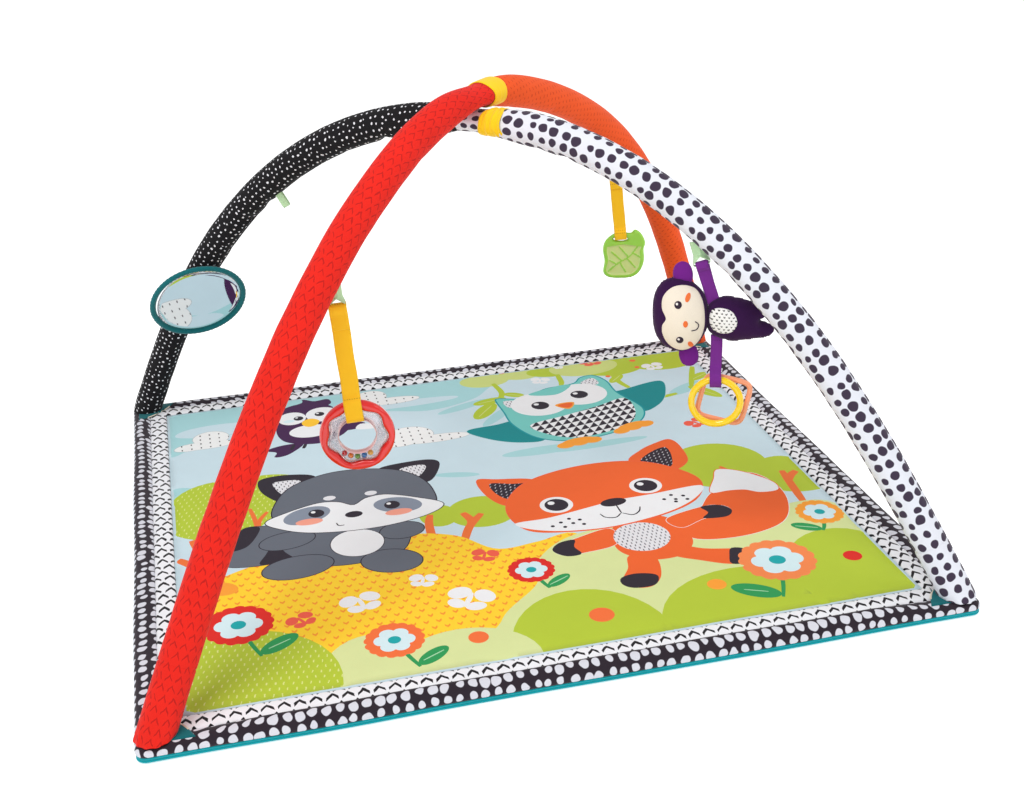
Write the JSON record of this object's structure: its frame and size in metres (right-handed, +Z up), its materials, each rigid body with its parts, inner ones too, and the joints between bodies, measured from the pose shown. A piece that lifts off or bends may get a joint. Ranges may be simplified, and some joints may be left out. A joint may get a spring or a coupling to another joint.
{
  "type": "activity play gym",
  "caption": "Padded play mat under two crossing padded arches, with hanging soft toys, a rattle ring, a teether and a tilting mirror.",
  "frame": {"origin": "on the floor under the middle of the mat, where the arches cross above", "axes": "+Z up; +X along the long side of the mat, to the right seen from the front; +Y towards the back"},
  "size_m": [0.9, 0.84, 0.5448],
  "materials": {
    "teal_backing": "matt woven polyester",
    "wadding": "loose polyester wadding",
    "printed_panel": "brushed polyester with a printed scene",
    "chevron_cotton": "white cotton printed with small chevrons",
    "dotted_cotton": "dark plum cotton printed with white dots",
    "tab_cotton": "dark teal cotton",
    "red_jersey": "red jersey printed with darker chevrons",
    "orange_jersey": "orange jersey printed with small dashes",
    "black_jersey": "black jersey printed with small white dots",
    "white_jersey": "white jersey printed with plum spots",
    "rod_fibreglass": "pultruded fibreglass rod",
    "cap_plastic": "moulded polypropylene",
    "ferrule_steel": "drawn steel tube",
    "wrap_jersey": "yellow stretch jersey",
    "loop_ribbon": "pale green grosgrain ribbon",
    "yellow_webbing": "golden yellow hook-and-loop webbing",
    "rattle_red": "glossy moulded plastic",
    "rattle_clear": "clear moulded plastic",
    "bead_plastic": "glossy coloured beads",
    "leaf_silicone": "satin silicone",
    "plush_velour": "dark purple velour",
    "bright_velour": "bright purple velour and webbing",
    "face_velour": "cream velour",
    "belly_cotton": "white cotton printed with small black triangles",
    "ring_plastic": "glossy yellow plastic",
    "link_plastic": "satin peach plastic",
    "mirror_pad_knit": "dark teal ribbed knit",
    "mirror_film": "silvered plastic film"
  },
  "bodies": {
    "mat": {"mat_backing": "teal_backing", "mat_filling": "wadding", "mat_panel": "printed_panel", "chevron_strip_front": "chevron_cotton", "dotted_border_front": "dotted_cotton", "chevron_strip_back": "chevron_cotton", "dotted_border_back": "dotted_cotton", "chevron_strip_left": "chevron_cotton", "dotted_border_left": "dotted_cotton", "chevron_strip_right": "chevron_cotton", "dotted_border_right": "dotted_cotton", "rolled_edge": "teal_backing", "red_corner_tab": "tab_cotton", "orange_corner_tab": "tab_cotton", "black_corner_tab": "tab_cotton", "white_corner_tab": "tab_cotton"},
    "red_orange_arch": {"red_sleeve": "red_jersey", "red_rod": "rod_fibreglass", "red_foot_cap": "cap_plastic", "orange_sleeve": "orange_jersey", "orange_rod": "rod_fibreglass", "orange_foot_cap": "cap_plastic", "upper_ferrule": "ferrule_steel", "upper_wrap": "wrap_jersey", "red_loop": "loop_ribbon", "orange_loop": "loop_ribbon"},
    "black_white_arch": {"black_sleeve": "black_jersey", "black_rod": "rod_fibreglass", "black_foot_cap": "cap_plastic", "white_sleeve": "white_jersey", "white_rod": "rod_fibreglass", "white_foot_cap": "cap_plastic", "lower_ferrule": "ferrule_steel", "lower_wrap": "wrap_jersey", "white_loop": "loop_ribbon", "black_loop": "loop_ribbon"},
    "rattle": {"rattle_strap": "yellow_webbing", "rattle_ring": "rattle_red", "rattle_clear_ring": "rattle_clear"},
    "rattle_beads": {"bead_red": "bead_plastic", "bead_orange": "bead_plastic", "bead_green": "bead_plastic", "bead_blue": "bead_plastic", "bead_yellow": "bead_plastic"},
    "leaf": {"leaf_strap": "yellow_webbing", "leaf_teether": "leaf_silicone"},
    "monkey": {"monkey_body": "plush_velour", "monkey_head": "plush_velour", "monkey_upper_ear": "bright_velour", "monkey_lower_ear": "bright_velour", "monkey_face": "face_velour", "monkey_belly_patch": "belly_cotton", "monkey_upper_strap": "bright_velour", "monkey_lower_strap": "bright_velour"},
    "yellow_ring": {"yellow_ring": "ring_plastic"},
    "peach_link": {"peach_link": "link_plastic"},
    "mirror": {"mirror_strap": "mirror_pad_knit", "mirror_pad": "mirror_pad_knit", "mirror_disc": "mirror_film"}
  },
  "joints": [
    {"name": "arch_lift", "type": "slide", "parent": "mat", "child": "red_orange_arch", "axis": [0, 0, 1], "range_m": [0, 0.12]},
    {"name": "arch_twist", "type": "hinge", "parent": "red_orange_arch", "child": "black_white_arch", "pos_m": [0, 0, 0.5025], "axis": [0, 0, 1], "range_deg": [0, 35]},
    {"name": "mirror_tilt", "type": "hinge", "parent": "black_white_arch", "child": "mirror", "pos_m": [-0.33906, 0.31529, 0.22627], "axis": [-0.4237, 0.394, -0.8156], "range_deg": [-20, 20]},
    {"name": "rattle_swing", "type": "hinge", "parent": "red_orange_arch", "child": "rattle", "pos_m": [-0.19553, -0.18182, 0.35155], "axis": [0.9922, -0.1078, 0.0628], "range_deg": [-35, 35]},
    {"name": "bead_slide", "type": "hinge", "parent": "rattle", "child": "rattle_beads", "pos_m": [-0.18629, -0.18282, 0.20384], "axis": [0.108, 0.9942, 0], "continuous": true},
    {"name": "leaf_swing", "type": "hinge", "parent": "red_orange_arch", "child": "leaf", "pos_m": [0.23946, 0.22268, 0.3502], "axis": [0.9479, -0.308, 0.0819], "range_deg": [-35, 35]},
    {"name": "monkey_swing", "type": "hinge", "parent": "black_white_arch", "child": "monkey", "pos_m": [0.20505, -0.19067, 0.35566], "axis": [0.8857, -0.3579, 0.2957], "range_deg": [-4, 30]},
    {"name": "yellow_ring_swing", "type": "hinge", "parent": "monkey", "child": "yellow_ring", "pos_m": [0.22077, -0.20167, 0.22116], "axis": [0.3746, 0.9272, 0], "range_deg": [-8, 12]},
    {"name": "peach_link_swing", "type": "hinge", "parent": "monkey", "child": "peach_link", "pos_m": [0.22377, -0.19425, 0.22206], "axis": [0.3746, 0.9272, 0], "range_deg": [-10, 8]}
  ]
}
